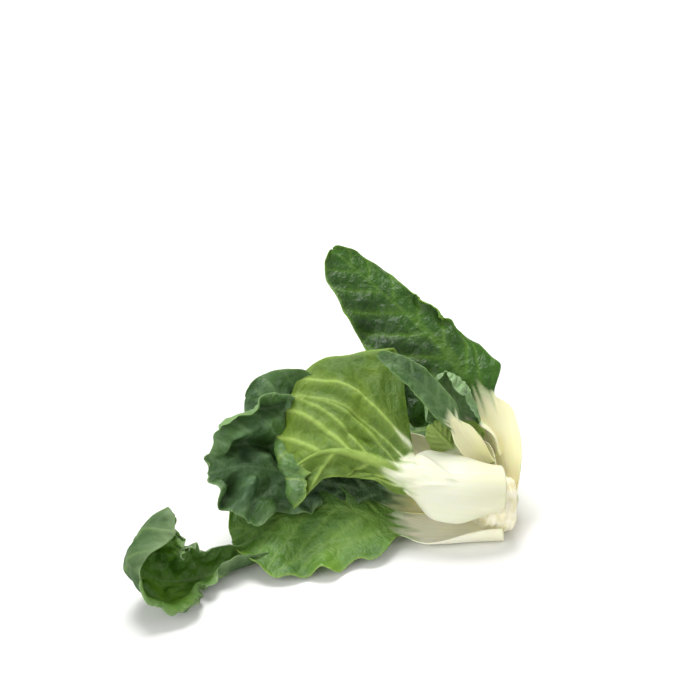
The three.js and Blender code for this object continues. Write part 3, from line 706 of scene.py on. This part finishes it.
curledLeaf = {
    "stands for": "curled_leaf",
    "rib": [[5, 19, 30], [0, 24, 39], [-8, 29, 47], [-14, 33, 55], [-17, 34, 63], [-18, 31, 70],
            [-18, 26, 75]],
    "face": [[-0.4, -0.7, 0.6], [-0.2, -0.85, 0.5], [-0.1, -0.9, 0.4], [0, -0.9, 0.1], [0, -0.8, -0.5]],
    "stalk": [0.36, 8, 4], "left": [8, 17, 22, 22, 17], "right": [8, 17, 22, 22, 17],
    "foldLeft": [[10, 50], [0, 95], [0, 95]], "foldRight": [[10, 50], [0, 115], [0, 125]],
    "wave": [0.8, 3], "phase": 2.1, "seed": 53, "grid": (180, 131), "savoy": 1.2, "quilt": 8.0, "edge": 1.4,
    # The patches on the curled leaf are painted shade inside its cup
    "ruffle": 1.4, "shadeAndLightPatches": [[0.75, 1, 6, -0.7], [0.6, 0, 4, -0.6], [0.88, 2, 5, -0.5]], "whiteTo": 0.7,
}
makeLeaf("curledLeaf", curledLeaf, curlBlade)

stripLeaf = {
    "stands for": "strip_leaf",
    "rib": [[2, 13, 30], [-6, 13, 42], [-13, 13, 53], [-20, 15, 63], [-29, 19, 72], [-39, 24, 79],
            [-50, 30, 83]],
    "face": [[-0.3, -0.5, 0.7], [-0.3, -0.5, 0.8], [-0.3, -0.5, 0.8]],
    "stalk": [0.36, 7, 4], "left": [3, 5, 6, 6, 4], "right": [3, 5, 7, 7, 5],
    "foldLeft": [[5, 40], [5, 60], [0, 60]], "foldRight": [[5, 40], [10, 45], [0, 40]],
    "wave": [1.2, 4], "phase": 0.9, "seed": 61, "grid": (150, 71), "savoy": 0.6, "quilt": 8.0, "ruffle": 1.0,
}
makeLeaf("stripLeaf", stripLeaf, darkBlade)

tallLeaf = {
    "stands for": "tall_leaf",
    "rib": [[2, 10, 26], [-20, 17, 30], [-50, 23, 39], [-78, 28, 47], [-99, 32, 53], [-114, 34, 55]],
    "face": [[-0.1, -0.4, 0.9], [-0.3, -0.6, 0.7], [-0.5, -0.6, 0.5]],
    "stalk": [0.42, 9, 4], "left": [4, 8, 16, 22, 20], "right": [2, 4, 14, 24, 20],
    "foldLeft": [[5, 50], [10, 35], [-10, 10]], "foldRight": [[5, 50], [10, 35], [-10, 10]],
    "wave": [3, 5], "phase": 5.1, "seed": 71, "grid": (120, 71), "savoy": 0.9, "quilt": 12.0,
}
makeLeaf("tallLeaf", tallLeaf, darkBlade)

crinkledLeaf = {
    "stands for": "crinkled_leaf",
    "rib": [[2, -3, 20], [-18, -2, 18], [-37, 1, 18], [-54, 4, 21], [-73, 7, 23], [-93, 6, 30], [-113, 1, 38],
            [-131, -8, 41]],
    "face": [[-0.1, -0.2, 1], [-0.2, -0.5, 0.8], [-0.3, -0.6, 0.75], [-0.5, -0.6, 0.6]],
    "stalk": [0.4, 8, 4], "left": [3, 8, 20, 34, 36], "right": [6, 18, 36, 46, 42],
    "foldLeft": [[5, 50], [0, 10], [0, 30]], "foldRight": [[5, 50], [0, 15], [0, 40]],
    "wave": [2.8, 5], "phase": 2.6, "seed": 83, "savoy": 4.4, "quilt": 13.0, "ruffle": 2.0, "undulate": 2.0,
    "grid": (230, 151), "whiteTo": 0.5, "ragged": 0.03,
    "folds": [[0.80, 40, 0.93, 30, 7, 5], [0.76, 31, 0.95, 20, 2.5, -5], [0.80, 22, 0.92, 16, 5, 5],
              [0.76, 12, 0.91, 10, 3.5, -8], [0.79, 3, 0.86, -14, 4, 6], [0.86, 4, 0.93, -14, 3.5, -5],
              [0.93, 12, 0.97, -12, 5, 3]],
    # The patches on the crinkled leaf are painted highlights on its upper folds and painted shade in its
    # hollows and along its stalk, under the leaves over it
    "shadeAndLightPatches": [[0.84, 5, 6, -0.7], [0.84, 37, 12, 0.5], [0.89, 30, 9, 0.6], [0.94, 22, 5, 0.4],
              [0.94, -11, 9, -0.5], [0.89, -24, 10, -0.5], [0.9, 6, 7, -0.3], [0.35, 0, 24, -0.8],
              [0.52, 0, 18, -0.8]],
}
makeLeaf("crinkledLeaf", crinkledLeaf, crinkledBlade)

longLeaf = {
    "stands for": "long_leaf",
    "rib": [[-4, 13, 5], [-26, 13, 4], [-48, 8, 4], [-73, -6, 3.5], [-98, -20, 3], [-121, -32, 2],
            [-139, -41, 2], [-154, -46, 6], [-164, -48, 17], [-164, -47, 30], [-157, -44, 40],
            [-149, -41, 44]],
    "face": [[0, -0.1, 1], [0, 0, 1], [0, 0, 1], [0.1, -0.1, 1], [0.55, -0.6, 0.5], [0.5, -0.55, -0.6]],
    "stalk": [0.5, 8, 4.5], "left": [3, 10, 16, 34, 36, 28], "right": [3, 10, 16, 32, 36, 28],
    "straighten": 0.2, "foldLeft": [[5, 40], [20, 80], [15, 115], [12, 105]],
    "foldRight": [[5, 40], [20, 80], [15, 115], [12, 105]], "wave": [2.4, 5], "phase": 3.1, "seed": 97,
    "savoy": 2.4, "quilt": 11.0, "ruffle": 2.0, "grid": (210, 131), "greening": 0.1, "edge": 2.2,
    # The patches on the long leaf are painted light inside its pouch and painted shade a little nearer its
    # foot
    "rolls": [[0.62, 0.90, -1, 6, 2.2, -1]], "shadeAndLightPatches": [[0.8, 2, 14, 0.5], [0.68, 0, 10, -0.4]],
}
makeLeaf("longLeaf", longLeaf, cupBlade)

sideLeaf = {
    "stands for": "side_leaf",
    "rib": [[3, 12, 7], [-8, 24, 5], [-24, 36, 4], [-48, 50, 3], [-76, 62, 2], [-100, 70, 1], [-114, 74, 0]],
    "face": [[-0.1, -0.2, 1], [-0.1, -0.1, 1], [0, 0, 1]],
    "stalk": [0.42, 10, 5], "left": [12, 26, 33, 33, 28], "right": [8, 18, 24, 26, 22],
    "foldLeft": [[5, 50], [5, 10], [0, -10]], "foldRight": [[5, 50], [0, 0], [0, -10]],
    "wave": [2.2, 5], "phase": 4.9, "seed": 101, "grid": (120, 81), "savoy": 0.5,
}
makeLeaf("sideLeaf", sideLeaf, brightBlade)

backLeaf = {
    "stands for": "back_leaf",
    "rib": [[11, 12, 8], [8, 24, 6], [4, 40, 5], [-5, 56, 5], [-18, 71, 8], [-32, 82, 8], [-43, 89, 4]],
    "face": [[-0.2, -0.3, 1], [-0.1, -0.2, 1], [0, 0, 1]],
    "stalk": [0.45, 12, 5.5], "left": [8, 22, 30, 32, 28], "right": [10, 26, 34, 36, 30],
    "foldLeft": [[5, 50], [5, 30], [0, 10]], "foldRight": [[5, 50], [0, -10], [0, -25]],
    "wave": [2.4, 5], "phase": 0.2, "seed": 113, "grid": (120, 81),
}
makeLeaf("backLeaf", backLeaf, paleBlade)
print("leaves made")

# The crown

crown = {
    "foot": [15, 4, 13.5], "axis": [-0.96, -0.1, 0.08],
    "profile": [(0, 0), (11, 0), (13, 1.5), (14, 6), (13, 14), (9, 20), (0, 23)],
    "sides": 160, "rows": 120, "scars": 5, "scarDepth": 0.5,
}


def crownMaterial():
    material, tree, shader = newMaterial("crownFlesh")
    spot = node(tree, "TexCoord").outputs["Object"]
    cut = node(tree, "Attribute", attribute_name="cut").outputs["Fac"]
    ring = node(tree, "Attribute", attribute_name="ring").outputs["Fac"]
    cloudy = node(tree, "TexNoise", {"Vector": spot, "Scale": 180.0, "Detail": 4.0}).outputs["Fac"]
    speck = node(tree, "TexNoise", {"Vector": spot, "Scale": 900.0, "Detail": 2.0}).outputs["Fac"]
    skinColor = blendColors(tree, step(tree, cloudy, 0.35, 0.7), srgb(246, 242, 220), srgb(228, 220, 176))
    cutColor = blendColors(tree, step(tree, cloudy, 0.35, 0.65), srgb(226, 214, 170), srgb(196, 170, 118))
    cutColor = blendColors(tree, math2(tree, "MULTIPLY", ring, 0.55), cutColor, srgb(160, 128, 78))
    color = blendColors(tree, cut, skinColor, cutColor)
    brown = math2(tree, "MULTIPLY", step(tree, speck, 0.66, 0.74), 0.4)
    color = blendColors(tree, brown, color, srgb(150, 110, 60))
    tree.links.new(color, shader.inputs["Base Color"])
    tree.links.new(mixNumber(tree, cut, 0.4, 0.75), shader.inputs["Roughness"])
    high = math2(tree, "MULTIPLY_ADD", ring, 0.6, math2(tree, "MULTIPLY_ADD", speck, 0.25, cloudy))
    relief = node(tree, "Bump", {"Height": high, "Distance": 0.0005, "Strength": 0.7})
    tree.links.new(relief.outputs[0], shader.inputs["Normal"])
    shader.inputs["Subsurface Weight"].default_value = 0.3
    shader.inputs["Subsurface Radius"].default_value = (1.0, 0.9, 0.5)
    shader.inputs["Subsurface Scale"].default_value = 0.002
    return material


def makeCrown(c):
    # A profile of radius and height turned round the crown's
    # axis, with shallow scars where leaves were broken off
    radius, height = np.array(c["profile"], float).T
    run = np.concatenate([[0], np.cumsum(np.hypot(np.diff(radius), np.diff(height)))])
    t = np.linspace(0.001, run[-1] - 0.001, c["rows"])[:, None]
    r, h = np.interp(t, run, radius), np.interp(t, run, height)
    turn = np.linspace(0, 2 * math.pi, c["sides"], endpoint=False)[None, :]
    cut = 1 - smooth((t - 10.4) / 1.2)
    scar = np.sin(c["scars"] * turn + h * 0.35) ** 2
    dent = np.abs(np.sin(h * 0.9 + np.sin(turn * 2)))
    r = r * (1 - 0.03 * (1 - cut) * scar) - c["scarDepth"] * (1 - cut) * dent
    h = h + cut * (0.35 * lattice(r * np.cos(turn), r * np.sin(turn), 4, 7) + 0.5 - 0.004 * r**2)
    axis = unit(np.array(c["axis"], float))
    first = unit(np.cross(axis, [0, 0, 1.0]))
    second = np.cross(axis, first)
    points = np.array(c["foot"], float) + h[..., None] * axis
    points = points + r[..., None] * (np.cos(turn)[..., None] * first + np.sin(turn)[..., None] * second)
    points[..., 2] = np.maximum(points[..., 2], 0)
    rings = np.exp(-(((r - 7.5) / 0.8) ** 2)) * cut + 0.6 * np.exp(-(((r - 3.5) / 0.6) ** 2)) * cut

    n, m = r.shape
    grid = np.arange(n * m).reshape(n, m)
    after = np.roll(grid, -1, axis=1)
    walls = np.stack([grid[:-1], after[:-1], after[1:], grid[1:]], -1).reshape(-1, 4)
    mesh = bpy.data.meshes.new("crownStub")
    faces = walls.tolist() + [grid[0, ::-1].tolist(), grid[-1].tolist()]
    mesh.from_pydata(place(points.reshape(-1, 3)).tolist(), [], faces)
    mesh.polygons.foreach_set("use_smooth", np.ones(len(faces), bool))
    for key, value in {"cut": np.broadcast_to(cut, r.shape), "ring": rings}.items():
        made = mesh.attributes.new(key, "FLOAT", "POINT")
        made.data.foreach_set("value", value.astype(np.float32).ravel())
    mesh.materials.append(crownMaterial())
    piece = bpy.data.objects.new("crownStub", mesh)
    bpy.context.scene.collection.objects.link(piece)
    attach(piece, "root")
    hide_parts("crown")
    print("crown made")


makeCrown(crown)

# Floor, light and camera

studio = {
    "floorSize": 6.0, "world": 0.34,
    "key": {"at": (-0.12, 0.42, 1.05), "size": 0.6, "watts": 12.5},
    "fill": {"at": (-0.75, -0.75, 0.6), "size": 0.9, "watts": 8.0},
    "back": {"at": (0.8, -0.3, 0.6), "size": 0.9, "watts": 2.5},
}


def makeFloor():
    half = studio["floorSize"] / 2
    steps = np.linspace(-half, half, 5)
    x, y = np.meshgrid(steps, steps)
    grid = np.arange(25).reshape(5, 5)
    faces = np.stack([grid[:-1, :-1], grid[:-1, 1:], grid[1:, 1:], grid[1:, :-1]], -1).reshape(-1, 4)
    mesh = bpy.data.meshes.new("floor")
    mesh.from_pydata(np.stack([x, y, 0 * x], -1).reshape(-1, 3).tolist(), [], faces.tolist())
    material, tree, shader = newMaterial("paleFloor")
    spot = node(tree, "TexCoord").outputs["Object"]
    noise = node(tree, "TexNoise", {"Vector": spot, "Scale": 3.0, "Detail": 2.0}).outputs["Fac"]
    color = blendColors(tree, noise, srgb(248, 248, 246), srgb(244, 244, 241))
    tree.links.new(color, shader.inputs["Base Color"])
    shader.inputs["Roughness"].default_value = 0.7
    mesh.materials.append(material)
    floor = bpy.data.objects.new("floor", mesh)
    bpy.context.scene.collection.objects.link(floor)


def makeLight(name, light):
    lamp = bpy.data.lights.new(name, "AREA")
    lamp.size = light["size"]
    lamp.energy = light["watts"]
    made = bpy.data.objects.new(name, lamp)
    made.location = light["at"]
    made.rotation_euler = (Vector((0, 0, 0.03)) - made.location).to_track_quat("-Z", "Y").to_euler()
    bpy.context.scene.collection.objects.link(made)


makeFloor()
for name in ("key", "fill", "back"):
    makeLight(name, studio[name])
world = bpy.data.worlds.new("studio")
world.use_nodes = True
world.node_tree.nodes["Background"].inputs[0].default_value = (1, 1, 1, 1)
world.node_tree.nodes["Background"].inputs[1].default_value = studio["world"]
bpy.context.scene.world = world
bpy.context.scene.view_settings.view_transform = "Standard"

# The frame of the picture, 700 by 700, shows this much of the head's plane
camera = {"target": (0.0111, 0.0805, 0.04), "elevation": 35.0, "azimuth": 0.0, "lens": 300.0, "across": 0.343}


def makeCamera(c):
    data = bpy.data.cameras.new("camera")
    data.lens = c["lens"]
    data.sensor_width = 36.0
    far = c["across"] * c["lens"] / data.sensor_width
    up, round = math.radians(c["elevation"]), math.radians(c["azimuth"])
    back = Vector((math.sin(round) * math.cos(up), -math.cos(round) * math.cos(up), math.sin(up)))
    made = bpy.data.objects.new("camera", data)
    made.location = Vector(c["target"]) + back * far
    made.rotation_euler = (-back).to_track_quat("-Z", "Y").to_euler()
    bpy.context.scene.collection.objects.link(made)
    bpy.context.scene.camera = made


makeCamera(camera)
print("studio made")
